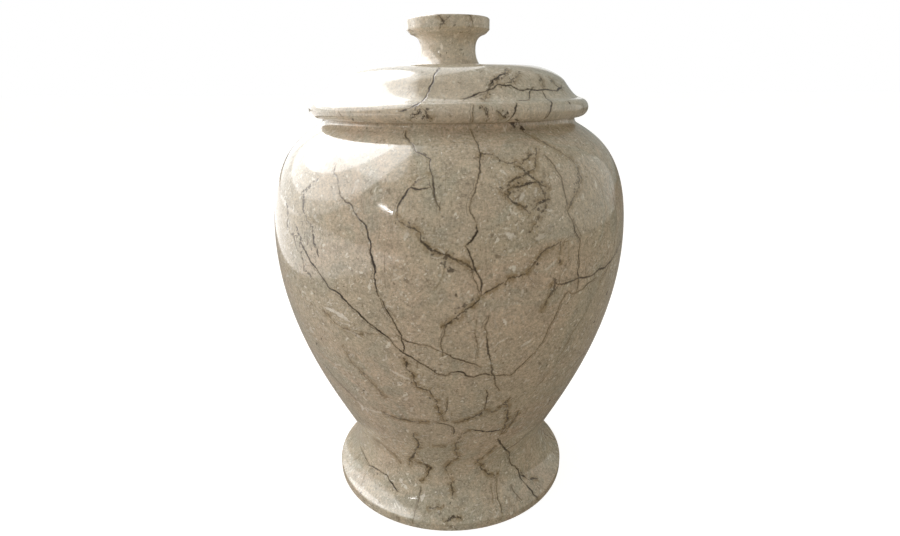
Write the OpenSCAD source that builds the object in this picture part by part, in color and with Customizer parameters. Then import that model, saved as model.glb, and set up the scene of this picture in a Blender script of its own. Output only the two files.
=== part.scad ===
// Turned stone cremation urn: a footed, hollow baluster body and a lift-off lid with a turned knob.
// Units are millimetres. The axis of turning is Z and the underside of the foot is at z = 0.

/* [Overall] */
// Height of the body alone, from the underside of the foot to the rim
body_h = 218.3; // [182:0.1:265]
// Radius at the widest part of the belly
belly_r = 97.6; // [80:0.1:120]
// Thickness of the hollowed wall
wall = 10; // [6:0.5:14]
// Thickness of stone left under the hollow
floor_h = 21.5; // [14:0.5:30]

/* [Belly] */
// Height of the widest part
belly_z = 154.5; // [125:0.1:168]
// Fullness of the flank below the widest part, as a share of its run
flank_full = 0.483; // [0.3:0.001:0.65]
// Fullness of the shoulder above the widest part, as a share of its run
shoulder_full = 0.69; // [0.5:0.01:0.85]
// Slope of the shoulder where it runs into the neck, in degrees from level
shoulder_slope = 29.5; // [15:0.5:50]

/* [Foot] */
// Radius of the foot
foot_r = 72; // [60:0.1:88]
// Height of the upright edge of the foot
foot_edge = 5.5; // [3:0.1:9]
// Rounding of the upper corner of the foot
foot_round = 1.3; // [0.5:0.1:2.5]
// Radius of the waist between the foot and the belly
waist_r = 58.8; // [48:0.1:70]
// Height of the waist
waist_z = 30; // [24:0.1:40]
// Slope of the cove where it leaves the edge of the foot, in degrees from level
cove_slope = 30; // [15:1:50]

/* [Neck and rim] */
// Outside radius of the short neck
neck_r = 67.9; // [56:0.1:76]
// Radius of the hollow curve between the shoulder and the neck
neck_cove = 3.3; // [1.5:0.1:5]
// Width of the flat rim that the lid rests on
rim_w = 11.9; // [8:0.1:18]

/* [Lid] */
// How far the bead of the lid stands out past the neck
lid_over = 6.7; // [5:0.1:9]
// Radius of the half-round section of the bead
bead = 4.5; // [3:0.1:6]
// Height of the lid from the joint to the flat top around the knob
lid_h = 25; // [20:0.1:31]
// Radius of the flat top around the knob
flat_r = 44.7; // [36:0.1:54]
// Slope of the dome where its two curves meet, in degrees from level
dome_slope = 55.5; // [40:0.5:65]
// Gap between the plug of the lid and the mouth, all round
plug_gap = 1; // [0.5:0.1:2]
// Depth of the plug below the joint
plug_h = 7; // [4:0.5:10]
// Width of the ring that the plug leaves around its hollow
plug_w = 11; // [7:0.5:16]
// Height of the shallow hollow above the joint
hollow_h = 7; // [2:0.5:12]

/* [Knob] */
// Height of the knob above the flat top
knob_h = 23.7; // [19:0.1:30]
// Radius of the head of the knob
knob_r = 21.9; // [18:0.1:27]
// Height of the upright band of the head
knob_band = 5.7; // [3.5:0.1:7.5]
// Width of the bevel under the head
knob_bevel = 2.1; // [1:0.1:3.5]
// Radius of the narrow part of the knob
knob_neck_r = 14.6; // [11:0.1:17.6]
// Radius of the knob where it meets the lid
knob_foot_r = 17.8; // [14.8:0.1:21.4]

/* [Hidden] */
$fn = 144;
soft = 0.6;    // worn arris on the plain edges
steps = 30;    // bands in each long curve
mouth_r = neck_r - rim_w;
lid_r = neck_r + lid_over;
lid_top = body_h + lid_h;
top_z = lid_top + knob_h;
plug_r = mouth_r - plug_gap;
marble = [0.72, 0.67, 0.58];

function bez(k, t) =
  let (s = 1 - t) s * s * s * k[0] + 3 * s * s * t * k[1] + 3 * s * t * t * k[2] + t * t * t * k[3];
function bez_way(k, t) =
  let (s = 1 - t) s * s * (k[1] - k[0]) + 2 * s * t * (k[2] - k[1]) + t * t * (k[3] - k[2]);
// A curve between two points, moved over to its left hand by the inset
function curve(k, n = steps, inset = 0) = [
  for (i = [0 : n]) let (t = i / n, w = bez_way(k, t), u = w / norm(w)) bez(k, t) + inset * [-u[1], u[0]]
];
function arc(c, r, from, to, n = 8) = [
  for (i = [0 : n]) let (q = from + (to - from) * i / n) c + r * [cos(q), sin(q)]
];
function rest_of(list) = [for (i = [1 : len(list) - 1]) list[i]];
function back(list) = [for (i = [len(list) - 1 : -1 : 0]) list[i]];

// The foot: an upright edge, a small round and a cove up to the waist
foot_c = [foot_r - foot_round, foot_edge + 0.3 - foot_round];
cove_from = foot_c + foot_round * [sin(cove_slope), cos(cove_slope)];
cove = [
  cove_from,
  cove_from + 0.62 * (cove_from[0] - waist_r) * [-cos(cove_slope), sin(cove_slope)],
  [waist_r, (waist_z + cove_from[1]) / 2],
  [waist_r, waist_z]
];
// The belly: a long flank up to the widest part, then the shoulder
flank = [
  [waist_r, waist_z],
  [waist_r, waist_z + 0.087 * (belly_z - waist_z)],
  [belly_r, belly_z - flank_full * (belly_z - waist_z)],
  [belly_r, belly_z]
];
neck_c = [neck_r + neck_cove, body_h - 0.8];
shoulder_to = neck_c - neck_cove * [sin(shoulder_slope), cos(shoulder_slope)];
shoulder = [
  [belly_r, belly_z],
  [belly_r, belly_z + shoulder_full * (shoulder_to[1] - belly_z)],
  shoulder_to + 0.505 * (belly_r - shoulder_to[0]) * [1, -tan(shoulder_slope)],
  shoulder_to
];
outside = concat(
  [[0, 0], [foot_r - soft, 0], [foot_r, soft]],
  arc(foot_c, foot_round, 0, 90 - cove_slope),
  rest_of(curve(cove)),
  rest_of(curve(flank)),
  rest_of(curve(shoulder)),
  rest_of(arc(neck_c, neck_cove, 270 - shoulder_slope, 180)),
  [[neck_r, body_h - soft / 2], [neck_r - soft / 2, body_h]]
);
// The hollow follows the outside, one wall in, from above its floor to the underside of the shoulder
under_shoulder = [for (p = curve(shoulder, steps, wall)) if (p[0] > mouth_r + 0.5) p];
last_in = under_shoulder[len(under_shoulder) - 1];
floor_round = max(3, waist_z - floor_h);
inside = concat(
  [[0, floor_h]],
  arc([waist_r - wall - floor_round, floor_h + floor_round], floor_round, 270, 360),
  [for (p = curve(flank, steps, wall)) if (p[1] > floor_h + floor_round + 0.2) p],
  rest_of(under_shoulder),
  [
    [mouth_r, last_in[1] + (last_in[0] - mouth_r) * tan(shoulder_slope)],
    [mouth_r, body_h - soft],
    [mouth_r + soft, body_h]
  ]
);

module urn_body() {
  color(marble) rotate_extrude() polygon(concat(outside, back(inside)));
}

// The lid: a half-round bead, then a hollow curve that turns over into the dome
bead_c = [lid_r - bead, body_h + bead];
bead_end = 76;
bead_to = bead_c + bead * [cos(bead_end), sin(bead_end)];
turn_over = [flat_r + 0.68 * (lid_r - bead - flat_r), body_h + 0.688 * lid_h];
sweep = [
  bead_to,
  bead_to + 0.1 * lid_h * [-sin(bead_end), cos(bead_end)],
  turn_over + 0.333 * lid_h * [cos(dome_slope), -sin(dome_slope)],
  turn_over
];
dome = [
  turn_over,
  turn_over + 0.216 * lid_h * [-cos(dome_slope), sin(dome_slope)],
  [flat_r + 0.16 * lid_h, lid_top],
  [flat_r, lid_top]
];
// The knob, turned in one with the lid
knob_mid = lid_top + 0.36 * knob_h;
head_z = top_z - knob_band;
stem = [
  [knob_foot_r, lid_top],
  [knob_foot_r - 0.06 * knob_h, lid_top + 0.07 * knob_h],
  [knob_neck_r, lid_top + 0.18 * knob_h],
  [knob_neck_r, knob_mid]
];
under_head = [knob_r - knob_bevel, head_z - knob_bevel];
throat = [
  [knob_neck_r, knob_mid],
  [knob_neck_r, knob_mid + 0.62 * (under_head[1] - knob_mid)],
  under_head - [0.72 * (under_head[0] - knob_neck_r), 0.9],
  under_head
];
lid_outline = concat(
  [[plug_r, body_h], [bead_c[0] - 1, body_h]],
  arc(bead_c, bead, -90, bead_end, 18),
  rest_of(curve(sweep, 16)),
  rest_of(curve(dome, 20)),
  curve(stem, 14),
  rest_of(curve(throat, 14)),
  arc([knob_r - 0.5, head_z + 0.2], 0.5, -45, 0, 3),
  arc([knob_r - 1.1, top_z - 1.1], 1.1, 0, 90, 6),
  [[0, top_z]]
);
// The plug and the shallow hollow turned into it, from the axis out
plug_in = plug_r - plug_w;
hollow_round = min(4, hollow_h);
underside = concat(
  [[0, body_h + hollow_h]],
  arc([plug_in - hollow_round, body_h + hollow_h - hollow_round], hollow_round, 90, 0),
  [[plug_in, body_h - plug_h + soft], [plug_in + soft, body_h - plug_h]],
  [[plug_r - 1.2, body_h - plug_h], [plug_r, body_h - plug_h + 1.2]]
);

module lid() {
  color(marble) rotate_extrude() polygon(concat(underside, lid_outline));
}

urn_body();
lid();
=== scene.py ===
import bpy, math
import numpy as np
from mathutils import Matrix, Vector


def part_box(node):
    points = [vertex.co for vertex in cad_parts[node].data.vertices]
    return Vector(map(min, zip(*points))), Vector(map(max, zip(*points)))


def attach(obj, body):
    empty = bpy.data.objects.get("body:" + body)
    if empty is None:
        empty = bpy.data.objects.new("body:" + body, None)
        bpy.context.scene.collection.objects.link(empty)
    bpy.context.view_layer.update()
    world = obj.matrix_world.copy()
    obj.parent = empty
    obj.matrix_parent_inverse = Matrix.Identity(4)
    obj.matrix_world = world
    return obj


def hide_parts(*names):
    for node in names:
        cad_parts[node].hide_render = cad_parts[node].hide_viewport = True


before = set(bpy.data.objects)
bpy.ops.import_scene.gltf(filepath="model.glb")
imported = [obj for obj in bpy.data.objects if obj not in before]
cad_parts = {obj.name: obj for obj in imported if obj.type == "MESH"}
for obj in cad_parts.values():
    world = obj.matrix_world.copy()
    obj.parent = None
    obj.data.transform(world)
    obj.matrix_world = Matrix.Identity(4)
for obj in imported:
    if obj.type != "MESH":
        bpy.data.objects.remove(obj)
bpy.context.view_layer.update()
scene = bpy.context.scene
scene.view_settings.view_transform = "Standard"
print("Frame loaded")

camera = dict(distance=0.31515, height=0.23453, side=0.0003, lookDown=18.435, lean=-0.36, lens=22.08)

def placeCamera():
    cam = bpy.data.cameras.new("urnCamera")
    cam.lens, cam.sensor_width, cam.clip_start = camera["lens"], 36.0, 0.01
    rig = bpy.data.objects.new("urnCamera", cam)
    scene.collection.objects.link(rig)
    rig.location = (camera["side"], -camera["distance"], camera["height"])
    rig.rotation_mode = "XYZ"
    rig.rotation_euler = (math.radians(90 - camera["lookDown"]), 0, 0)
    rig.rotation_euler.rotate_axis("Z", math.radians(camera["lean"]))
    scene.camera = rig

placeCamera()

# in metres, with angles in degrees
turning = dict(sameRing=5e-6, sameLevel=1e-5, easedEdge=0.00035, easedFrom=20, flatRatio=2.9, flatLeast=0.0015,
    flatRim=0.0004, footLift=0.0001, honedFoot=0.0003, honedMouth=0.0002, jointGap=0.00005)

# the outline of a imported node, as (radius, height), from its lower end on the axis round to its upper one
def outlineOf(node):
    mesh = node.data
    place = np.empty(len(mesh.vertices) * 3)
    mesh.vertices.foreach_get("co", place)
    place = place.reshape(-1, 3)
    rings = np.c_[np.hypot(place[:, 0], place[:, 1]), place[:, 2]]
    rings, ringOf = np.unique(np.round(rings, 6), axis=0, return_inverse=True)
    apart = np.hypot(*(rings[:, None] - rings[None]).transpose(2, 0, 1))
    ringOf = (apart < turning["sameRing"]).argmax(0)[ringOf.ravel()]  # rings a hair apart count as one
    links = np.empty(len(mesh.edges) * 2, int)
    mesh.edges.foreach_get("vertices", links)
    links = ringOf[links].reshape(-1, 2)
    nextTo = {}
    for a, b in np.unique(links[links[:, 0] != links[:, 1]], axis=0):
        nextTo.setdefault(a, set()).add(b)
        nextTo.setdefault(b, set()).add(a)
    ends = [ring for ring in nextTo if len(nextTo[ring]) == 1]
    walk = [min(ends, key=lambda ring: rings[ring][1])]
    while True:
        onward = [ring for ring in nextTo[walk[-1]] if ring not in walk]
        if not onward:
            break
        walk.append(onward[0])
    line = rings[walk]
    return np.vstack([[0, line[0][1]], line, [0, line[-1][1]]])

# the polisher leaves no dead sharp edge
def softenCorners(line):
    cut = turning["easedEdge"]
    out = [line[0]]
    for before, here, after in zip(line, line[1:], line[2:]):
        inward, onward = here - before, after - here
        a, b = np.hypot(*inward), np.hypot(*onward)
        turned = math.degrees(math.acos(max(-1, min(1, inward @ onward / (a * b)))))
        if turned < turning["easedFrom"]:
            out.append(here)
            continue
        start, end = here - inward * min(cut / a, 0.4), here + onward * min(cut / b, 0.4)
        for t in (0, 0.25, 0.5, 0.75, 1):
            out.append((1 - t) ** 2 * start + 2 * t * (1 - t) * here + t * t * end)
    return np.array(out + [line[-1]])

# a smooth curve through the outline's points, cut into steps of about the given size
def refine(line, step):
    leap = np.diff(line, axis=0)
    length = np.hypot(*leap.T)
    way = leap / length[:, None]
    tangent = [way[0]]
    for i in range(1, len(way)):
        mean = way[i - 1] * length[i] + way[i] * length[i - 1]
        tangent.append(mean / np.hypot(*mean))
    tangent.append(way[-1])
    out = []
    for i, (a, b, size) in enumerate(zip(line, line[1:], length)):
        beside = [length[j] for j in (i - 1, i + 1) if 0 <= j < len(length)]
        flat = size > turning["flatRatio"] * min(beside)
        count = max(1, math.ceil(size / step))
        along = [k / count for k in range(count)]
        if flat and size > turning["flatLeast"]:  # keeps the shading of a flat level right up to its edge
            rim = turning["flatRim"]
            inner = [t for t in along if rim < t * size < size - rim]
            along = sorted(set(inner + [0, rim / size, 1 - rim / size]))
        for t in along:
            if flat:
                out.append(a + t * (b - a))
                continue
            p, q = tangent[i] * size, tangent[i + 1] * size
            ends = (1 + 2 * t) * (1 - t) ** 2 * a + t * t * (3 - 2 * t) * b
            out.append(ends + t * (1 - t) ** 2 * p + t * t * (t - 1) * q)
    return np.array(out + [line[-1]])

def turn(name, line, columns):
    angle = np.arange(columns) * 2 * math.pi / columns
    rings = line[1:-1]
    r, z = rings[:, :1], rings[:, 1:]
    place = np.stack([r * np.sin(angle), -r * np.cos(angle), z + 0 * angle], -1).reshape(-1, 3)
    place = np.vstack([place, [0, 0, line[0][1]], [0, 0, line[-1][1]]])
    first, last = len(place) - 2, len(place) - 1
    faces, top = [], (len(rings) - 1) * columns
    for k in range(columns):
        n = (k + 1) % columns
        faces.append((first, n, k))
        faces.append((last, top + k, top + n))
    for i in range(len(rings) - 1):
        low, high = i * columns, (i + 1) * columns
        for k in range(columns):
            n = (k + 1) % columns
            faces.append((low + k, low + n, high + n, high + k))
    mesh = bpy.data.meshes.new(name)
    mesh.from_pydata(place.tolist(), [], faces)
    mesh.validate()
    mesh.shade_smooth()
    return mesh

def surfaceRun(line):
    return np.r_[0, np.cumsum(np.hypot(*np.diff(line, axis=0).T))]

# lengths in millimetres, and scatter in degrees
veining = dict(reach=6.0, fade=1.5, leastWide=4, leastRadius=6, margin=1, stride=(6, 18), scatter=14,
    startsWithin=(0.05, 0.95), darkness=(0.55, 1.0), wobble=(0.5, 1.3))

# crook is how far a route kinks for its length, down to steps of finest millimetres; the stone's noise pushes the
# line aside by slow and quick millimetres, and the stain beside it spreads as far as stain
families = dict(
    cracks=dict(crook=0.07, finest=2.0, slow=1.5, quick=0.9, stain=1.1),
    seams=dict(crook=0.06, finest=1.6, slow=3.2, quick=1.8, stain=3.6),
    shells=dict(crook=0.05, finest=3.0, slow=2.2, quick=1.2, stain=3.0),
    dots=dict(crook=0.1, finest=2.0, slow=3.2, quick=1.8, stain=2.0))

# where each vertex lies on the turned skin: millimetres up it from the start, degrees round from the front, radius
def skinOf(line, columns, start):
    run, radius = (surfaceRun(line) - start) * 1000, line[:, 0] * 1000
    return dict(
        up=np.repeat(run[1:-1], columns),
        wide=np.maximum(np.repeat(radius[1:-1], columns), veining["leastWide"]),
        angle=np.tile(np.arange(columns) * 360 / columns, len(line) - 2),
        radiusAt=lambda s: max(veining["leastRadius"], float(np.interp(s, run, radius))))

# breaks a route of (degrees, millimetres) into short uneven steps
def roughen(route, skin, rng, crook, finest):
    out = [route[0]]
    for (a0, s0), (a1, s1) in zip(route, route[1:]):
        scale = math.radians(1) * skin["radiusAt"]((s0 + s1) / 2)
        dx, dy = (a1 - a0) * scale, s1 - s0
        size = math.hypot(dx, dy)
        if size > finest:
            push = rng.normal(0, crook) * size
            middle = ((a0 + a1) / 2 - dy / size * push / scale, (s0 + s1) / 2 + dx / size * push)
            out += roughen([(a0, s0), middle, (a1, s1)], skin, rng, crook * 0.93, finest)[1:]
        else:
            out.append((a1, s1))
    return out

# a made-up route: a walk in long uneven strides
def wander(rng, start, heading, length, skin, top, turnBy):
    route, (a, s), gone = [start], start, 0
    while gone < length:
        stride = rng.uniform(*veining["stride"])
        heading += rng.normal(0, turnBy)
        a += math.degrees(math.sin(math.radians(heading)) * stride / skin["radiusAt"](s))
        s += math.cos(math.radians(heading)) * stride
        if not veining["margin"] < s < top - veining["margin"]:
            break
        route.append((a, s))
        gone += stride
    return route

def wildVeins(rng, wild, skin, top, span):
    made = []
    for k in range(wild["count"]):
        start = (rng.uniform(*span), rng.uniform(*veining["startsWithin"]) * top)
        if made and k % 3 == 2:  # every third one starts from a point on an earlier one
            other = made[rng.integers(len(made))][2]
            start = other[rng.integers(1, len(other))]
        heading = rng.choice(wild["headings"]) + rng.normal(0, veining["scatter"])
        route = wander(rng, start, heading, rng.uniform(*wild["length"]), skin, top, wild["turnBy"])
        if len(route) > 1:
            made.append((rng.uniform(*wild["width"]), rng.uniform(*veining["darkness"]), route))
    return made

# shares the veins out so that close ones lie in different layers, then writes each layer as an attribute:
# signed distance sideways from the vein and its width, both in millimetres, and its darkness
def layVeins(mesh, skin, family, veins, layers, rng):
    up, wide, angle = skin["up"], skin["wide"], skin["angle"]
    reach, crook, finest = veining["reach"], families[family]["crook"], families[family]["finest"]
    routes = []
    for width, dark, route in veins:
        routes.append((width, dark, np.array(roughen([tuple(p) for p in route], skin, rng, crook, finest))))
    placed = [[] for _ in range(layers)]
    for width, dark, fine in sorted(routes, key=lambda v: -len(v[2])):
        best = None
        for number, layer in enumerate(placed):
            room = 99.0
            for _, _, other in layer:
                across = np.radians((fine[:, None, 0] - other[None, :, 0] + 180) % 360 - 180)
                across = across * np.array([skin["radiusAt"](s) for s in fine[:, 1]])[:, None]
                room = min(room, float(np.hypot(across, fine[:, None, 1] - other[None, :, 1]).min()))
            if best is None or room > best[0]:
                best = (room, number)
            if room > 2 * reach:
                break
        placed[best[1]].append((width, dark, fine))
    for number, layer in enumerate(placed):
        aside, away = np.full(len(up), reach), np.full(len(up), reach)
        thick, depth = np.zeros(len(up)), np.zeros(len(up))
        for width, dark, fine in layer:
            n = len(fine)
            knots = np.arange(0, n + 4, 4)
            wobble = np.interp(np.arange(n), knots, rng.uniform(*veining["wobble"], len(knots)))
            taper = np.minimum(1, np.minimum(np.arange(n), np.arange(n)[::-1]) / min(2.5, n / 2.2))
            widths, darks = width * wobble * taper ** 0.5, dark * (0.75 + 0.25 * wobble)
            for i in range(n - 1):
                (a0, s0), (a1, s1) = fine[i], fine[i + 1]
                near = np.flatnonzero((up > min(s0, s1) - reach) & (up < max(s0, s1) + reach))
                scale = np.radians(1) * wide[near]
                x, y = ((angle[near] - a0 + 180) % 360 - 180) * scale, up[near] - s0
                dx, dy = (a1 - a0) * scale, s1 - s0
                t = np.clip((x * dx + y * dy) / np.maximum(dx * dx + dy * dy, 1e-9), 0, 1)
                gap = np.hypot(x - t * dx, y - t * dy)
                closer = gap < away[near] - 1e-9
                pick, t = near[closer], t[closer]
                side = np.sign(x * dy - y * dx)[closer]
                away[pick] = gap[closer]
                aside[pick] = np.where(side == 0, 1, side) * gap[closer]
                thick[pick] = widths[i] * (1 - t) + widths[i + 1] * t
                depth[pick] = darks[i] * (1 - t) + darks[i + 1] * t
        calm = np.clip((reach - away) / veining["fade"], 0, 1)
        values = np.zeros((len(mesh.vertices), 3), np.float32)
        values[: len(up)] = np.c_[aside, thick * calm, depth * calm]
        layerOut = mesh.attributes.new("%s%d" % (family, number + 1), "FLOAT_VECTOR", "POINT")
        layerOut.data.foreach_set("vector", values.ravel())

# the veins of the front are laid as listed, and those of the sides and back are made up
def layFamilies(mesh, skin, piece, top):
    rng = np.random.default_rng(piece["seed"])
    for family, layers in piece["layers"].items():
        veins = piece[family] + wildVeins(rng, piece["wild"][family], skin, top, piece["wildSpan"])
        layVeins(mesh, skin, family, veins, layers, rng)

def markPolish(mesh, ringValues, columns):
    values = np.zeros(len(mesh.vertices), np.float32)
    values[: (len(ringValues) - 2) * columns] = np.repeat(ringValues[1:-1], columns)
    mesh.attributes.new("polished", "FLOAT", "POINT").data.foreach_set("value", values)

class Nodes:
    def __init__(self, tree):
        self.tree = tree

    def add(self, kind, **settings):
        node = self.tree.nodes.new(kind)
        for name, value in settings.items():
            if name == "values":
                for socket, v in value.items():
                    self.put(node.inputs[socket], v)
            else:
                setattr(node, name, value)
        return node

    def put(self, socket, value):
        if isinstance(value, bpy.types.NodeSocket):
            self.tree.links.new(value, socket)
        else:
            socket.default_value = value

    def math(self, kind, a, b=None, c=None, clamp=False):
        node = self.add("ShaderNodeMath", operation=kind, use_clamp=clamp)
        for i, v in enumerate((a, b, c)):
            if v is not None:
                self.put(node.inputs[i], v)
        return node.outputs[0]

    def vector(self, kind, *parts):
        return self.add("ShaderNodeVectorMath", operation=kind, values=dict(enumerate(parts))).outputs[0]

    def scaled(self, vector, by):
        return self.add("ShaderNodeVectorMath", operation="SCALE", values={0: vector, "Scale": by}).outputs[0]

    def times(self, first, *others):
        for other in others:
            first = self.math("MULTIPLY", first, other)
        return first

    def spread(self, value, low, high, toLow=0.0, toHigh=1.0):
        node = self.add("ShaderNodeMapRange", interpolation_type="SMOOTHSTEP")
        for socket, v in zip(node.inputs[:5], (value, low, high, toLow, toHigh)):
            self.put(socket, v)
        return node.outputs[0]

    def mix(self, share, a, b):
        node = self.add("ShaderNodeMix", data_type="RGBA")
        self.put(node.inputs[0], share)
        self.put(node.inputs[6], a if isinstance(a, bpy.types.NodeSocket) else (*a, 1))
        self.put(node.inputs[7], b if isinstance(b, bpy.types.NodeSocket) else (*b, 1))
        return node.outputs[2]

    def noise(self, coords, scale, detail=4.0, rough=0.55, bend=0.0):
        values = {"Vector": coords, "Scale": scale, "Detail": detail, "Roughness": rough, "Distortion": bend}
        node = self.add("ShaderNodeTexNoise", values=values)
        return node.outputs[0], node.outputs[1]

def newGroup(name, inputs, outputs):
    tree = bpy.data.node_groups.new(name, "ShaderNodeTree")
    kinds = {"f": "NodeSocketFloat", "v": "NodeSocketVector", "c": "NodeSocketColor"}
    for label, kind, value in inputs:
        socket = tree.interface.new_socket(label, in_out="INPUT", socket_type=kinds[kind])
        if value is not None:
            socket.default_value = value
    for label, kind in outputs:
        tree.interface.new_socket(label, in_out="OUTPUT", socket_type=kinds[kind])
    n = Nodes(tree)
    return tree, n, n.add("NodeGroupInput").outputs, n.add("NodeGroupOutput").inputs

# drifts of two other tints over the ground, curling lines of old shell, and a fine mottled grain
def makeCloudedStone():
    tree, n, i, o = newGroup("cloudedStone", [
        ("Coords", "v", None), ("Ground", "c", (0.5, 0.42, 0.32, 1)), ("Warm", "c", (0.5, 0.4, 0.3, 1)),
        ("Grey", "c", (0.4, 0.37, 0.3, 1)), ("Shell", "c", (0.6, 0.54, 0.44, 1)),
        ("Drift", "f", 16.0), ("Cloud", "f", 0.5), ("Grain", "f", 0.5)], [("Color", "c"), ("Height", "f")])
    big, bigColor = n.noise(i["Coords"], i["Drift"], 4.0, 0.55, 0.8)
    other, _ = n.noise(bigColor, 5.0, 3.0)
    ground = n.mix(n.spread(big, 0.42, 0.64, 0.0, 0.9), i["Ground"], i["Warm"])
    ground = n.mix(n.spread(other, 0.45, 0.66, 0.0, 0.85), ground, i["Grey"])
    curl, _ = n.noise(i["Coords"], 85.0, 4.0, 0.55, 2.4)
    rim = n.spread(n.math("ABSOLUTE", n.math("SUBTRACT", curl, 0.5)), 0.003, 0.022, 1.0, 0.0)
    patch, _ = n.noise(i["Coords"], 52.0, 3.0, 0.6)
    ground = n.mix(n.math("MULTIPLY", rim, n.spread(patch, 0.46, 0.6, 0.0, 0.6)), ground, i["Shell"])
    ground = n.mix(n.spread(curl, 0.58, 0.72, 0.0, 0.4), ground, i["Shell"])
    blotch, _ = n.noise(i["Coords"], 170.0, 6.0, 0.68, 0.6)
    grain, _ = n.noise(i["Coords"], 760.0, 5.0, 0.9)
    tone = n.times(n.math("SUBTRACT", blotch, 0.5), i["Cloud"])
    tone = n.math("ADD", tone, n.times(n.math("SUBTRACT", grain, 0.5), i["Grain"]))
    tone = n.math("ADD", tone, 1.0)
    n.put(o["Color"], n.scaled(ground, tone))
    n.put(o["Height"], grain)
    return tree

# one layer of laid veins: the line itself, a finer one beside it, and how near both are
def makeStoneVein():
    tree, n, i, o = newGroup("stoneVein", [
        ("Vein", "v", None), ("Ragged", "f", 0.0), ("Swell", "f", 0.5), ("Gate", "f", 0.5), ("Break", "f", 0.5),
        ("Broken", "f", 0.1), ("Reach", "f", 1.5)], [("Line", "f"), ("Beside", "f"), ("Near", "f")])
    parts = n.add("ShaderNodeSeparateXYZ", values={0: i["Vein"]}).outputs
    aside = n.math("ADD", parts[0], i["Ragged"])
    gap = n.math("ABSOLUTE", aside)
    width = n.times(parts[1], n.spread(i["Swell"], 0.3, 0.7, 0.4, 1.25))
    edge = n.math("MULTIPLY_ADD", n.math("MULTIPLY_ADD", width, 0.5, n.times(gap, -1.0)), 2.6, 0.5, clamp=True)
    alive = n.spread(i["Break"], n.math("SUBTRACT", i["Broken"], 0.05), n.math("ADD", i["Broken"], 0.05))
    here = n.times(n.spread(parts[1], 0.02, 0.12), n.math("MINIMUM", parts[2], 1.0))
    n.put(o["Line"], n.times(edge, alive, here, n.spread(width, 0.0, 0.2)))
    second = n.math("ABSOLUTE", n.math("SUBTRACT", aside, n.math("MULTIPLY_ADD", i["Gate"], 6.0, -1.4)))
    n.put(o["Beside"], n.times(n.spread(second, 0.05, 0.3, 1.0, 0.0), n.spread(i["Gate"], 0.42, 0.54, 1.0, 0.0), here))
    n.put(o["Near"], n.times(n.spread(gap, 0.1, i["Reach"], 1.0, 0.0), here))
    return tree

# a net of cracks as thin as a hair that comes and goes
def makeHairCracks():
    tree, n, i, o = newGroup("hairCracks", [
        ("Coords", "v", None), ("Cells", "f", 30.0), ("Width", "f", 0.02), ("Amount", "f", 0.5)], [("Line", "f")])
    _, bend = n.noise(i["Coords"], 38.0, 4.0, 0.6)
    shifted = n.vector("MULTIPLY_ADD", bend, (0.03, 0.03, 0.03), i["Coords"])
    net = n.add("ShaderNodeTexVoronoi", feature="DISTANCE_TO_EDGE", values={"Vector": shifted, "Scale": i["Cells"]})
    line = n.spread(net.outputs["Distance"], n.times(i["Width"], 0.25), i["Width"], 1.0, 0.0)
    gate, _ = n.noise(i["Coords"], 22.0, 3.0, 0.6)
    fine, _ = n.noise(i["Coords"], 240.0, 2.0)
    gate = n.math("ADD", gate, n.times(n.math("SUBTRACT", fine, 0.5), 0.35))
    limit = n.math("SUBTRACT", 0.8, n.times(i["Amount"], 0.4))
    n.put(o["Line"], n.times(line, n.spread(gate, limit, n.math("ADD", limit, 0.12))))
    return tree

# scattered grit, each piece in a cell of its own
def makeGrit():
    tree, n, i, o = newGroup("grit", [
        ("Coords", "v", None), ("Cells", "f", 200.0), ("Amount", "f", 0.2), ("Size", "f", 0.35),
        ("Ragged", "f", 0.3)], [("Mask", "f")])
    _, bend = n.noise(i["Coords"], 300.0, 2.0)
    push = n.vector("SUBTRACT", bend, (0.5, 0.5, 0.5))
    moved = n.vector("ADD", i["Coords"], n.scaled(push, n.times(n.math("DIVIDE", i["Ragged"], i["Cells"]), 3.0)))
    cells = n.add("ShaderNodeTexVoronoi", feature="F1", values={"Vector": moved, "Scale": i["Cells"]})
    dice = n.add("ShaderNodeSeparateColor", values={0: cells.outputs["Color"]}).outputs
    size = n.times(i["Size"], n.math("MULTIPLY_ADD", dice[1], 0.9, 0.3))
    bit = n.spread(cells.outputs["Distance"], n.times(size, 0.6), size, 1.0, 0.0)
    some = n.spread(dice[0], n.math("SUBTRACT", 1.0, i["Amount"]), n.math("SUBTRACT", 1.02, i["Amount"]))
    n.put(o["Mask"], n.times(bit, some, n.math("MULTIPLY_ADD", dice[2], 0.7, 0.3)))
    return tree

# flecks of no one shape, drawn out along one direction
def makeFlecks():
    tree, n, i, o = newGroup("flecks", [
        ("Coords", "v", None), ("Turned", "v", (0.0, 0.0, 0.0)), ("Drawn", "v", (1.0, 1.0, 1.0)),
        ("Scale", "f", 200.0), ("Amount", "f", 0.4)], [("Mask", "f")])
    turnedBy = {"Vector": i["Coords"], "Rotation": i["Turned"]}
    turned = n.add("ShaderNodeVectorRotate", rotation_type="EULER_XYZ", values=turnedBy).outputs[0]
    spots, _ = n.noise(n.vector("MULTIPLY", turned, i["Drawn"]), i["Scale"], 2.0, 0.55, 0.4)
    crowd, _ = n.noise(i["Coords"], 40.0, 3.0, 0.6)
    spots = n.math("MULTIPLY_ADD", n.math("SUBTRACT", crowd, 0.5), 0.25, spots)
    limit = n.math("MULTIPLY_ADD", i["Amount"], -0.25, 0.76)
    n.put(o["Mask"], n.spread(spots, limit, n.math("ADD", limit, 0.045)))
    return tree

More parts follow.
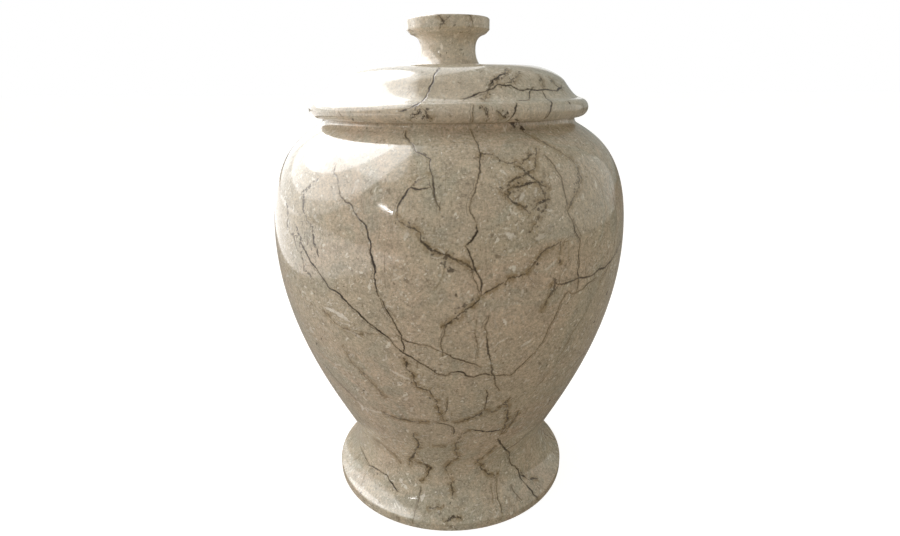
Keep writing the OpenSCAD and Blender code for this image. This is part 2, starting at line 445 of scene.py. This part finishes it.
# fine rings left by the lathe on surfaces that were never polished
def makeTurningMarks():
    tree, n, i, o = newGroup("turningMarks", [("Coords", "v", None), ("Pitch", "f", 900.0)], [("Height", "f")])
    parts = n.add("ShaderNodeSeparateXYZ", values={0: i["Coords"]}).outputs
    out = n.math("SQRT", n.math("ADD", n.times(parts[0], parts[0]), n.times(parts[1], parts[1])))
    wobble, _ = n.noise(i["Coords"], 60.0, 2.0)
    along = n.math("ADD", n.math("ADD", out, parts[2]), n.times(wobble, 0.0016))
    n.put(o["Height"], n.math("SINE", n.times(along, i["Pitch"], 6.2832)))
    return tree

groups = dict(
    clouded=makeCloudedStone(), vein=makeStoneVein(), hair=makeHairCracks(), grit=makeGrit(),
    flecks=makeFlecks(), marks=makeTurningMarks())

def marble(name, look, layers):
    material = bpy.data.materials.new(name)
    material.use_nodes = True
    tree = material.node_tree
    tree.nodes.clear()
    n = Nodes(tree)
    coords = n.add("ShaderNodeTexCoord").outputs["Object"]
    block = n.vector("ADD", coords, look["block"])  # each piece is cut from its own block

    def placed(group, **values):
        node = n.add("ShaderNodeGroup", node_tree=groups[group])
        for label, value in values.items():
            socket = node.inputs[label]
            n.put(socket, (*value, 1) if socket.type == "RGBA" and isinstance(value, tuple) else value)
        return node.outputs

    stone = placed("clouded", Coords=block, Ground=look["ground"], Warm=look["warm"], Grey=look["grey"],
        Shell=look["shell"], Drift=look["drift"], Cloud=look["cloud"], Grain=look["grain"])
    color = stone["Color"]
    for turned, drawn, scale, amount, tint, share in look["flecks"]:
        mask = placed("flecks", Coords=block, Turned=turned, Drawn=drawn, Scale=scale, Amount=amount)["Mask"]
        color = n.mix(n.times(mask, share), color, tint)
    for cells, amount, size, tint, share in look["grit"]:
        mask = placed("grit", Coords=block, Cells=cells, Amount=amount, Size=size, Ragged=0.45)["Mask"]
        color = n.mix(n.times(mask, share), color, tint)
    coarse, _ = n.noise(block, 260.0, 4.0, 0.62)
    fine, _ = n.noise(block, 1000.0, 2.0, 0.6)
    swell, _ = n.noise(block, 120.0, 3.0, 0.6)
    gate, _ = n.noise(block, 80.0, 2.0)
    broken, _ = n.noise(block, 520.0, 3.0, 0.65)
    wave, jag = n.math("SUBTRACT", coarse, 0.5), n.math("SUBTRACT", fine, 0.5)

    # the strongest of a family's layers at each place
    def family(kind, gaps, parts):
        run, most = families[kind], {}
        ragged = n.math("ADD", n.times(wave, run["slow"]), n.times(jag, run["quick"]))
        for number in range(layers[kind]):
            laid = n.add("ShaderNodeAttribute", attribute_name="%s%d" % (kind, number + 1)).outputs["Vector"]
            vein = placed("vein", Vein=laid, Ragged=ragged, Swell=swell, Gate=gate, Break=broken, Broken=gaps,
                Reach=run["stain"])
            for part in parts:
                most[part] = n.math("MAXIMUM", most[part], vein[part]) if part in most else vein[part]
        return most

    shells = family("shells", look["shellGaps"], ["Line"])
    pale = n.times(shells["Line"], n.spread(broken, 0.3, 0.6, 0.6, 1.0), look["shellShare"])
    color = n.mix(pale, color, look["paleShell"])
    cracks = family("cracks", look["crackGaps"], ["Line", "Beside", "Near"])
    seams = family("seams", look["seamGaps"], ["Line", "Near"])
    dots = family("dots", look["dotGaps"], ["Line"])
    blush = n.times(seams["Near"], n.spread(coarse, 0.34, 0.62, 0.1, 1.0), look["stainShare"])
    blush = n.math("MAXIMUM", blush, n.times(cracks["Near"], look["stainShare"] * look["crackStain"]))
    color = n.mix(blush, color, look["stain"])
    for cells, width, amount, share in look["hairs"]:
        hair = placed("hair", Coords=block, Cells=cells, Width=width, Amount=amount)["Line"]
        color = n.mix(n.times(hair, share), color, look["hairTint"])
    cells, amount, size = look["pepper"]
    pepper = placed("grit", Coords=block, Cells=cells, Amount=amount, Size=size, Ragged=0.5)["Mask"]
    seam = n.math("MAXIMUM", seams["Line"], n.times(pepper, n.spread(seams["Near"], 0.2, 0.6), 0.95))
    seam = n.times(n.math("MAXIMUM", seam, dots["Line"]), look["seamShare"])
    color = n.mix(seam, color, look["seamTint"])
    crack = n.math("MAXIMUM", cracks["Line"], n.times(cracks["Beside"], 0.5))
    color = n.mix(n.times(crack, look["crackShare"]), color, look["crackTint"])
    line = n.math("MAXIMUM", seam, crack)
    polished = n.add("ShaderNodeAttribute", attribute_name="polished").outputs["Fac"]
    marks = placed("marks", Coords=coords, Pitch=look["markPitch"])["Height"]
    rawness = n.math("SUBTRACT", 1.0, polished)
    color = n.mix(n.times(rawness, 0.35), color, look["honed"])
    rough = n.math("ADD", n.spread(coarse, 0.3, 0.7, look["gloss"], look["gloss"] + 0.05), n.times(line, 0.3))
    rough = n.math("ADD", rough, n.times(rawness, 0.4), clamp=True)
    height = n.math("MULTIPLY_ADD", line, -1.0, n.times(stone["Height"], 0.06))
    height = n.math("ADD", height, n.times(marks, rawness, 0.25))
    bump = n.add("ShaderNodeBump", values={"Height": height, "Strength": 0.5, "Distance": 0.00012})
    finish = {"Base Color": color, "Roughness": rough, "IOR": 1.52, "Normal": bump.outputs[0]}
    shader = n.add("ShaderNodeBsdfPrincipled", values=finish)
    n.put(n.add("ShaderNodeOutputMaterial").inputs["Surface"], shader.outputs[0])
    return material

print("Stone effects ready")

# a vein is its width, its darkness, and its route: degrees round from the front and millimetres up from the foot,
# measured along the surface
urnBody = dict(columns=256, step=0.0016, hiddenStep=0.006,
    seed=11, wildSpan=(64, 286), layers=dict(cracks=4, seams=4, shells=1, dots=1),
    cracks=[
        (1.0, 1.0, [(-35, 216), (-32, 207), (-31, 204), (-27, 199), (-25, 195), (-22, 191), (-21, 188), (-20, 183),
                    (-19, 172), (-19, 164), (-18, 159)]),
        (0.8, 1.0, [(-18, 159), (-16, 152), (-14, 144), (-13, 138), (-13, 131)]),
        (0.3, 0.6, [(-18, 157), (-15, 152), (-13, 146)]),
        (1.0, 1.0, [(-45, 178), (-42, 172), (-38, 166), (-29, 155), (-21, 144), (-13, 131), (-5, 122), (-2, 119),
                    (0, 119)]),
        (0.8, 0.9, [(-1, 119), (1, 121), (3, 121), (7, 117), (10, 119), (13, 117)]),
        (0.5, 0.85, [(-16, 238), (-13, 230), (-10, 224), (-7, 222), (-5, 220), (-5, 214), (-4, 208), (-3, 201),
                     (-2, 196)]),
        (0.75, 1.0, [(-5, 207), (-8, 206), (-10, 207), (-11, 205), (-12, 202), (-13, 199), (-13, 196)]),
        (0.55, 0.8, [(8, 239), (9, 229), (9, 219), (8, 212), (6, 203), (5, 198), (7, 192)]),
        (1.05, 1.0, [(7, 192), (7, 189), (6, 186), (4, 183)]),
        (0.9, 0.9, [(4, 183), (5, 179), (6, 174), (7, 171), (8, 166), (8, 161)]),
        (0.4, 0.7, [(5, 174), (6, 169), (7, 165), (8, 161)]),
        (0.6, 0.8, [(1, 150), (-1, 147), (-2, 141), (-2, 134), (-2, 130)]),
        (0.65, 0.9, [(28, 240), (30, 231), (32, 227)]),
        (0.5, 0.85, [(30, 221), (32, 214), (33, 207), (33, 201), (33, 194)]),
        (0.6, 0.9, [(33, 194), (35, 187), (37, 180), (37, 169), (37, 161), (37, 154)]),
        (0.3, 0.6, [(34, 192), (36, 186), (38, 180)]),
        (0.7, 0.8, [(10, 151), (9, 146), (10, 136), (11, 130), (12, 123), (13, 117), (14, 111), (16, 105)]),
        (0.35, 0.6, [(7, 150), (7, 140), (8, 128)]),
        (0.45, 0.9, [(13, 117), (19, 115), (22, 121), (26, 130), (30, 144), (31, 151), (33, 157), (36, 154),
                     (41, 157), (46, 159)]),
        (0.5, 0.9, [(-15, 142), (-12, 138), (-6, 136), (-1, 132), (3, 128), (9, 123)]),
        (0.3, 0.6, [(-29, 140), (-22, 139), (-15, 140)]),
        (0.3, 0.6, [(-1, 174), (-2, 168), (-4, 163)]),
        (0.7, 1.0, [(11, 108), (12, 100), (12, 92)]),
        (0.5, 0.9, [(-1, 104), (-1, 97), (-2, 90)]),
        (0.7, 0.9, [(-6, 84), (-2, 82), (1, 79), (1, 72)]),
        (0.9, 1.0, [(8, 76), (14, 72), (21, 70)]),
        (0.9, 0.9, [(21, 62), (24, 55), (27, 50), (34, 39), (41, 24), (43, 13), (45, 2)]),
        (0.8, 1.0, [(-77, 25), (-67, 23), (-56, 22), (-50, 22), (-44, 23), (-38, 23), (-33, 20), (-28, 17)]),
        (0.3, 0.6, [(-63, 26), (-66, 18), (-70, 12)]),
        (0.3, 0.6, [(-50, 22), (-53, 14), (-50, 6)]),
        (0.5, 0.9, [(-17, 24), (-17, 12), (-17, 2)]),
        (0.45, 0.9, [(26, 27), (24, 14), (22, 2)]),
        (0.3, 0.7, [(22, 24), (21, 12)]),
        (0.65, 1.0, [(34, 19), (35, 12), (36, 8)]),
        (0.7, 0.9, [(-50, 106), (-46, 99), (-40, 92), (-37, 87)]),
        (0.3, 0.5, [(56, 204), (58, 188), (57, 172), (52, 150)]),
        (0.3, 0.5, [(44, 214), (50, 200), (51, 186)]),
        (0.3, 0.5, [(40, 130), (36, 120), (33, 108), (28, 96)]),
        (0.3, 0.5, [(45, 148), (42, 138), (37, 124)]),
    ],
    seams=[
        (0.68, 0.9, [(13, 205), (17, 209), (21, 211), (25, 214), (27, 220), (29, 226)]),
        (0.81, 1.0, [(14, 205), (19, 206), (22, 208), (25, 208), (28, 203)]),
        (0.81, 1.0, [(13, 205), (16, 201), (19, 198), (21, 195), (22, 197), (24, 199), (28, 200)]),
        (0.75, 0.9, [(9, 220), (10, 223), (13, 222), (14, 221), (15, 219), (17, 217), (19, 218), (21, 216), (22, 218),
                     (27, 222)]),
        (0.75, 0.9, [(19, 216), (20, 215), (23, 211), (25, 207), (26, 202), (26, 197), (24, 194), (23, 191),
                     (21, 187)]),
        (0.88, 0.9, [(-13, 197), (-13, 194), (-12, 192), (-9, 190), (-7, 188), (-7, 185), (-5, 182), (-4, 181),
                     (1, 178), (5, 175)]),
        (0.6, 0.7, [(-10, 207), (-8, 211), (-5, 213)]),
        (0.94, 1.0, [(2, 177), (4, 175), (7, 172)]),
        (0.81, 0.7, [(30, 232), (34, 225), (37, 221), (40, 217), (41, 212), (41, 207), (38, 202), (33, 194)]),
        (0.94, 1.0, [(8, 161), (10, 163), (13, 166), (16, 168), (20, 169)]),
        (0.68, 0.8, [(20, 169), (23, 175), (26, 179), (30, 181), (30, 176), (30, 170)]),
        (1, 1.0, [(8, 161), (6, 157), (3, 153), (1, 150), (-2, 147)]),
        (0.68, 0.8, [(27, 163), (28, 158), (26, 154), (25, 149)]),
        (0.8, 1.0, [(-13, 129), (-11, 118), (-10, 110), (-6, 108), (-4, 100)]),
        (0.8, 1.0, [(-4, 100), (-4, 92), (-2, 84)]),
        (0.9, 1.0, [(12, 92), (9, 88), (6, 86), (1, 83)]),
        (0.8, 1.0, [(12, 92), (16, 89), (19, 96), (21, 88), (22, 76), (22, 66)]),
        (0.8, 1.0, [(26, 86), (26, 79), (24, 70), (22, 65)]),
        (0.8, 1.0, [(-26, 84), (-22, 83), (-15, 82), (-8, 83)]),
        (0.85, 1.0, [(-15, 72), (-14, 62), (-17, 51), (-22, 42), (-24, 34)]),
        (0.85, 1.0, [(-20, 40), (-15, 38), (-11, 36), (-13, 30), (-17, 26)]),
        (0.61, 0.7, [(-8, 60), (-2, 59)]),
        (0.8, 0.9, [(-45, 46), (-39, 46), (-33, 40), (-28, 32)]),
        (0.81, 0.9, [(22, 54), (18, 46), (14, 40), (17, 34), (21, 29), (28, 27)]),
        (0.75, 0.9, [(8, 76), (4, 68), (2, 62), (4, 48), (-3, 36), (0, 26), (1, 18)]),
        (0.95, 1.0, [(-12, 12), (-7, 14), (-4, 13)]),
        (1.5, 1.0, [(-3, 6), (1, 9), (5, 7)]),
        (0.85, 1.0, [(41, 22), (46, 16), (52, 12)]),
        (0.61, 0.7, [(-38, 146), (-34, 141), (-30, 139), (-24, 138)]),
        (0.54, 0.6, [(48, 154), (52, 160), (55, 166)]),
        (0.54, 0.7, [(-34, 128), (-28, 112), (-22, 98)]),
    ],
    shells=[
        (3.8, 1.2, [(-37, 148), (-33, 147), (-28, 144)]),
        (4.1, 0.83, [(-31, 139), (-28, 138), (-25, 136)]),
        (1.9, 1, [(14, 149), (15, 145)]),
        (1.7, 0.75, [(12, 134), (16, 139)]),
        (2.6, 0.9, [(21, 240), (21, 235)]),
        (3.5, 0.9, [(47, 205), (47, 200)]),
        (2.6, 1, [(26, 195), (28, 195)]),
        (2.3, 0.75, [(14, 214), (16, 212)]),
        (2.3, 1.2, [(-38, 88), (-36, 83), (-38, 78)]),
        (2.8, 0.8, [(-13, 179), (-12, 178)]),
        (2.8, 0.8, [(-9, 177), (-8, 177)]),
        (0.9, 0.9, [(-5, 180), (-4, 182), (-2, 182), (-1, 180), (-2, 178), (-4, 178), (-5, 180)]),
        (3.5, 0.9, [(-14, 20), (-15, 15)]),
        (3.8, 0.75, [(-29, 25), (-27, 22)]),
        (2.9, 0.75, [(-29, 12), (-24, 8)]),
        (2.3, 0.75, [(14, 188), (16, 184)]),
        (2, 0.75, [(24, 206), (23, 202)]),
        (2, 0.68, [(20, 132), (24, 136)]),
        (2.3, 0.75, [(-18, 120), (-12, 115)]),
        (3.2, 0.75, [(-36, 83), (-28, 84), (-22, 84)]),
    ],
    dots=[
        (2.4, 1.0, [(-40, 208), (-43, 204), (-46, 199), (-44, 194), (-42, 188), (-39, 184), (-39, 179), (-37, 173)]),
        (2.2, 0.9, [(-56, 196), (-53, 190), (-53, 182), (-48, 176), (-45, 171), (-44, 164), (-40, 161)]),
        (2.2, 1.0, [(-49, 186), (-45, 178), (-42, 172), (-40, 167)]),
        (4.0, 1.0, [(22, 241), (25, 240), (29, 238), (31, 235)]),
        (2.6, 1.0, [(13, 208), (16, 204), (14, 201)]),
        (1.7, 0.75, [(26, 166), (29, 162), (28, 157)]),
        (2.6, 0.8, [(1, 155), (4, 157), (7, 160)]),
        (2.4, 0.8, [(0, 182), (-2, 175), (2, 172)]),
        (2.6, 0.8, [(-16, 42), (-12, 37), (-14, 32)]),
        (2.2, 0.8, [(36, 203), (40, 206), (41, 212)]),
    ],
    wild=dict(
        cracks=dict(count=32, length=(50, 150), turnBy=13, width=(0.45, 1.0), headings=(205, 160, 340, 190)),
        seams=dict(count=28, length=(18, 60), turnBy=38, width=(0.6, 1.0), headings=(180, 100, 35, 250)),
        shells=dict(count=22, length=(3, 9), turnBy=30, width=(1.2, 2.8), headings=(45, 80, 120, 10)),
        dots=dict(count=9, length=(8, 30), turnBy=30, width=(1.8, 2.6), headings=(180, 100, 35, 250))),
    look=dict(
        block=(0.31, 0.07, 0.53), ground=(0.52, 0.434, 0.312), warm=(0.575, 0.45, 0.325), grey=(0.45, 0.402, 0.3),
        shell=(0.62, 0.55, 0.44), drift=15.0, cloud=0.9, grain=2.6,
        flecks=[((0.4, 0.9, 0.2), (1.0, 1.0, 1.8), 150.0, 0.38, (0.74, 0.67, 0.56), 0.65),
                ((1.2, 0.3, 0.8), (1.0, 1.5, 1.0), 290.0, 0.38, (0.82, 0.76, 0.64), 0.85),
                ((0.1, 0.5, 1.4), (1.0, 1.0, 1.3), 600.0, 0.4, (0.90, 0.84, 0.72), 0.6),
                ((0.7, 0.1, 0.3), (1.0, 1.4, 1.0), 360.0, 0.36, (0.2, 0.145, 0.09), 0.55)],
        grit=[(300.0, 0.06, 0.32, (0.07, 0.05, 0.03), 0.8), (150.0, 0.05, 0.26, (0.16, 0.11, 0.07), 0.6),
                (480.0, 0.1, 0.4, (0.80, 0.74, 0.62), 0.7)],
        paleShell=(0.84, 0.77, 0.66), shellShare=1.0, hairs=[(24.0, 0.03, 0.42, 0.35), (60.0, 0.045, 0.3, 0.3)],
        hairTint=(0.2, 0.155, 0.11),
        stain=(0.27, 0.18, 0.075), stainShare=0.8, crackStain=0.55, shellGaps=0.1, crackGaps=0.2, seamGaps=0.4,
        dotGaps=0.49, seamTint=(0.04, 0.021, 0.006), seamShare=0.92, pepper=(560.0, 0.5, 0.46),
        crackTint=(0.024, 0.011, 0.003), crackShare=1.0,
        honed=(0.56, 0.5, 0.41), gloss=0.07, markPitch=650.0))

def buildBody():
    outline = softenCorners(outlineOf(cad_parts["urn_body"]))
    fine, plain = refine(outline, urnBody["step"]), refine(outline, urnBody["hiddenStep"])
    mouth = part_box("urn_body")[1][2]
    level = mouth - turning["sameLevel"]
    outer = fine[: int(np.argmax(fine[:, 1] > level)) + 1]
    line = np.vstack([outer, plain[int(np.argmax(plain[:, 1] > level)) + 1:]])
    columns = urnBody["columns"]
    mesh = turn("urnBody", line, columns)
    run = surfaceRun(line)
    footEdge = run[int(np.argmax(line[:, 1] > turning["footLift"]))]
    top = (run[len(outer) - 1] - footEdge) * 1000
    skin = skinOf(line, columns, footEdge)
    layFamilies(mesh, skin, urnBody, top)
    ring, height = np.arange(len(line)), line[:, 1]
    polished = (height > turning["honedFoot"]) & (height < mouth - turning["honedMouth"])
    polished &= (ring > 0) & (ring < len(outer) - 1)
    markPolish(mesh, polished.astype(float), columns)
    piece = bpy.data.objects.new("urnBody", mesh)
    scene.collection.objects.link(piece)
    mesh.materials.append(marble("polishedMarbleBody", urnBody["look"], urnBody["layers"]))
    return piece

body = buildBody()
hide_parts("urn_body")
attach(body, "root")
print("Body turned:", len(body.data.polygons), "faces")

# routes as for the body, with the millimetres counted from the joint
lidPiece = dict(columns=256, step=0.0012,
    seed=5, wildSpan=(75, 285), wildTop=66, layers=dict(cracks=3, seams=3, shells=1, dots=1),
    cracks=[
        (1.0, 1.0, [(-4, 39), (-5, 33), (-6, 26), (-8, 19), (-10, 12), (-13, 9)]),
        (0.7, 0.9, [(-13, 9), (-15, 8), (-17, 8)]),
        (0.85, 1.0, [(4, 16), (9, 18), (15, 21), (20, 24), (26, 24), (31, 21), (37, 21), (46, 21), (54, 21),
                     (62, 24)]),
        (0.8, 1.0, [(31, 37), (27, 33), (22, 29), (18, 25), (16, 23)]),
        (0.9, 1.0, [(38, 23), (34, 20), (31, 15), (25, 14)]),
        (0.75, 0.95, [(42, 21), (41, 17), (40, 12), (38, 8), (36, 3)]),
        (0.9, 0.95, [(24, 12), (22, 6), (20, 2)]),
        (0.55, 0.8, [(27, 101), (31, 99), (36, 94)]),
        (0.5, 0.85, [(8, 12), (8, 6), (8, 2)]),
        (0.6, 0.9, [(-42, 8), (-40, 3)]),
        (0.3, 0.5, [(-3, 39), (2, 43), (8, 48), (4, 58), (2, 66)]),
        (0.6, 0.9, [(62, 10), (63, 4)]),
        (0.3, 0.6, [(-14, 22), (-16, 18)]),
    ],
    seams=[
        (0.81, 1.0, [(-10, 12), (-11, 8), (-13, 3)]),
        (0.68, 0.8, [(-9, 10), (-7, 7), (-5, 4)]),
        (0.68, 0.8, [(31, 36), (27, 31), (21, 28), (17, 23), (14, 18), (13, 13)]),
        (0.68, 0.7, [(36, 33), (31, 29), (26, 25), (21, 22)]),
        (0.68, 0.7, [(46, 31), (45, 26), (43, 22)]),
        (0.74, 0.8, [(11, 11), (12, 8), (13, 6), (13, 2)]),
        (0.94, 0.9, [(16, 8), (18, 6), (19, 4)]),
        (0.68, 0.7, [(52, 30), (54, 24), (60, 20)]),
        (0.74, 0.9, [(-14, 101), (-12, 99), (-9, 98), (-4, 95)]),
        (0.68, 0.8, [(1, 98), (-4, 97), (-9, 95), (-11, 92)]),
        (0.68, 0.8, [(18, 103), (26, 101), (33, 97)]),
    ],
    shells=[
        (2.3, 0.75, [(-3, 20), (-1, 17)]),
        (2.3, 0.75, [(17, 12), (20, 14)]),
        (2.6, 0.68, [(10, 34), (14, 32)]),
        (2, 0.75, [(10, 90), (12, 86)]),
        (2.3, 0.75, [(-14, 84), (-12, 80)]),
    ],
    dots=[
        (3.0, 1.0, [(-13, 5), (-10, 7), (-7, 4)]),
        (3.0, 1.0, [(18, 8), (20, 4)]),
        (2.2, 0.9, [(12, 10), (14, 4)]),
        (2.2, 0.8, [(16, 24), (22, 27), (28, 30)]),
        (2.6, 0.9, [(-10, 98), (-4, 96)]),
    ],
    wild=dict(
        cracks=dict(count=9, length=(22, 60), turnBy=16, width=(0.35, 0.9), headings=(20, 340, 75, 190)),
        seams=dict(count=9, length=(10, 30), turnBy=38, width=(0.6, 0.8), headings=(20, 60, 290, 200)),
        shells=dict(count=9, length=(3, 7), turnBy=30, width=(1.2, 2.2), headings=(45, 80, 120, 10)),
        dots=dict(count=5, length=(8, 20), turnBy=30, width=(1.8, 2.6), headings=(20, 60, 290, 200))),
    look=dict(
        # the lid's ground, warm, grey and shell tints are paler than the body's: painted light, standing in for the
        # stronger light that falls on the lid and knob
        block=(0.11, 0.47, 0.05), ground=(0.57, 0.485, 0.365), warm=(0.61, 0.50, 0.375), grey=(0.52, 0.465, 0.36),
        shell=(0.68, 0.61, 0.5), drift=18.0, cloud=0.75, grain=1.9,
        flecks=[((0.4, 0.9, 0.2), (1.0, 1.0, 1.8), 170.0, 0.3, (0.72, 0.65, 0.53), 0.5),
                ((1.2, 0.3, 0.8), (1.0, 1.5, 1.0), 310.0, 0.36, (0.80, 0.73, 0.61), 0.6),
                ((0.1, 0.5, 1.4), (1.0, 1.0, 1.3), 600.0, 0.4, (0.88, 0.81, 0.69), 0.55),
                ((0.7, 0.1, 0.3), (1.0, 1.4, 1.0), 380.0, 0.36, (0.2, 0.145, 0.09), 0.55)],
        grit=[(300.0, 0.08, 0.32, (0.07, 0.05, 0.03), 0.8), (160.0, 0.05, 0.26, (0.16, 0.11, 0.07), 0.6),
                (480.0, 0.08, 0.4, (0.80, 0.74, 0.62), 0.6)],
        paleShell=(0.84, 0.77, 0.66), shellShare=0.9, hairs=[(30.0, 0.03, 0.4, 0.3), (70.0, 0.045, 0.3, 0.25)],
        hairTint=(0.2, 0.155, 0.11),
        stain=(0.27, 0.18, 0.075), stainShare=0.7, crackStain=0.55, shellGaps=0.1, crackGaps=0.2, seamGaps=0.4,
        dotGaps=0.49, seamTint=(0.04, 0.021, 0.006), seamShare=0.92, pepper=(560.0, 0.5, 0.46),
        crackTint=(0.024, 0.011, 0.003), crackShare=1.0,
        honed=(0.56, 0.5, 0.41), gloss=0.07, markPitch=650.0))

def buildLid():
    line = refine(softenCorners(outlineOf(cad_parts["lid"])), lidPiece["step"])
    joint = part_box("urn_body")[1][2]
    if line[0][1] > line[-1][1]:
        line = line[::-1]
    start = int(np.argmax(line[:, 0]))
    while line[start][1] > joint + turning["jointGap"]:
        start -= 1
    columns = lidPiece["columns"]
    mesh = turn("lid", line, columns)
    skin = skinOf(line, columns, surfaceRun(line)[start])
    layFamilies(mesh, skin, lidPiece, lidPiece["wildTop"])
    markPolish(mesh, (np.arange(len(line)) > start).astype(float), columns)
    piece = bpy.data.objects.new("lid", mesh)
    scene.collection.objects.link(piece)
    mesh.materials.append(marble("polishedMarbleLid", lidPiece["look"], lidPiece["layers"]))
    return piece

lid = buildLid()
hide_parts("lid")
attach(lid, "root")
print("Lid turned:", len(lid.data.polygons), "faces")

studio = dict(
    air=(0.97, 1.0, 0.93), airStrength=0.35, floorSeen=0.9, floorBounce=(0.4, 0.35, 0.3), floorHalf=12, aim=0.15)

def buildFloor():
    mesh = bpy.data.meshes.new("floor")
    half = studio["floorHalf"]
    mesh.from_pydata([(-half, -half, 0), (half, -half, 0), (half, half, 0), (-half, half, 0)], [], [(0, 1, 2, 3)])
    piece = bpy.data.objects.new("floor", mesh)
    scene.collection.objects.link(piece)
    material = bpy.data.materials.new("paleFloor")
    material.use_nodes = True
    n = Nodes(material.node_tree)
    material.node_tree.nodes.clear()
    seen = n.add("ShaderNodeLightPath").outputs["Is Camera Ray"]
    plain = n.add("ShaderNodeBsdfDiffuse", values={"Color": (*studio["floorBounce"], 1)})
    glow = n.add("ShaderNodeEmission", values={"Color": (1, 1, 1, 1), "Strength": studio["floorSeen"]})
    both = n.add("ShaderNodeAddShader", values={0: plain.outputs[0], 1: glow.outputs[0]})
    pick = n.add("ShaderNodeMixShader", values={0: seen, 1: plain.outputs[0], 2: both.outputs[0]})
    n.put(n.add("ShaderNodeOutputMaterial").inputs["Surface"], pick.outputs[0])
    mesh.materials.append(material)

def buildAir():
    world = bpy.data.worlds.new("air")
    scene.world = world
    world.use_nodes = True
    n = Nodes(world.node_tree)
    world.node_tree.nodes.clear()
    seen = n.add("ShaderNodeLightPath").outputs["Is Camera Ray"]
    soft = n.add("ShaderNodeBackground", values={"Color": (*studio["air"], 1), "Strength": studio["airStrength"]})
    white = n.add("ShaderNodeBackground", values={"Color": (1, 1, 1, 1), "Strength": 1.0})
    pick = n.add("ShaderNodeMixShader", values={0: seen, 1: soft.outputs[0], 2: white.outputs[0]})
    n.put(n.add("ShaderNodeOutputWorld").inputs["Surface"], pick.outputs[0])

# bearing is degrees round from the front, climb is degrees up, and glow is the panel's brightness
def panel(name, bearing, climb, away, size, glow, tint=(1, 1, 1), lights=True, mirrored=True, shape="RECTANGLE"):
    lamp = bpy.data.lights.new(name, "AREA")
    lamp.shape, lamp.size, lamp.size_y = shape, size[0], size[1]
    lamp.energy = glow * math.pi * size[0] * size[1]
    lamp.color = tint
    holder = bpy.data.objects.new(name, lamp)
    scene.collection.objects.link(holder)
    b, c = math.radians(bearing), math.radians(climb)
    way = np.array([math.sin(b) * math.cos(c), -math.cos(b) * math.cos(c), math.sin(c)])
    holder.location = way * away + np.array([0, 0, studio["aim"]])
    holder.rotation_euler = (math.radians(90) - c, 0, b)
    holder.visible_diffuse, holder.visible_glossy, holder.visible_camera = lights, mirrored, False
    return holder

buildFloor()
buildAir()
panel("paleWall", -86, 24, 1.5, (2.6, 1.5), 1.65, (0.95, 1.0, 1.1), mirrored=False)
panel("highWall", -140, 68, 1.5, (1.5, 1.0), 1.1, (0.96, 1.0, 1.04), mirrored=False)
panel("warmRoom", -14, 2, 1.5, (1.6, 0.7), 1.08, (1.0, 0.86, 0.76), mirrored=False)
panel("farSide", 84, 4, 1.5, (1.7, 0.9), 0.84, (1.0, 1.0, 0.93), mirrored=False)
panel("farShine", 92, 10, 1.5, (2.4, 1.6), 0.4, (1.0, 1.0, 0.97), lights=False, shape="ELLIPSE")
panel("backShine", -172, 12, 1.5, (1.5, 0.8), 0.5, (1.0, 1.0, 1.0), lights=False, shape="ELLIPSE")
panel("paleShine", -122, 38, 1.5, (4.2, 2.6), 1.3, (1.0, 1.0, 1.0), lights=False, shape="ELLIPSE")
panel("innerShine", -108, 42, 1.5, (2.6, 2.0), 1.9, (1.0, 1.0, 1.0), lights=False, shape="ELLIPSE")
panel("highShine", -98, 60, 1.5, (2.2, 0.8), 2.0, (1.0, 1.0, 1.0), lights=False, shape="ELLIPSE")
panel("windowShine", -124, 45, 1.5, (1.6, 1.25), 4.0, (1.0, 1.0, 1.0), lights=False, shape="ELLIPSE")
smallWindow = panel("smallWindow", -38.5, 19, 1.6, (0.28, 0.035), 42.0, (1.0, 1.0, 1.0), lights=False)
smallWindow.rotation_euler.rotate_axis("Z", math.radians(-30))
tableShine = panel("tableShine", -90, 0, 3.6, (6.2, 3.4), 1.5, (1.0, 1.0, 1.0), lights=False)
tableShine.location, tableShine.rotation_euler = (-3.55, 0.7, 0.004), (math.pi, 0, 0)  # lies on the floor and faces up
print("Studio lit")
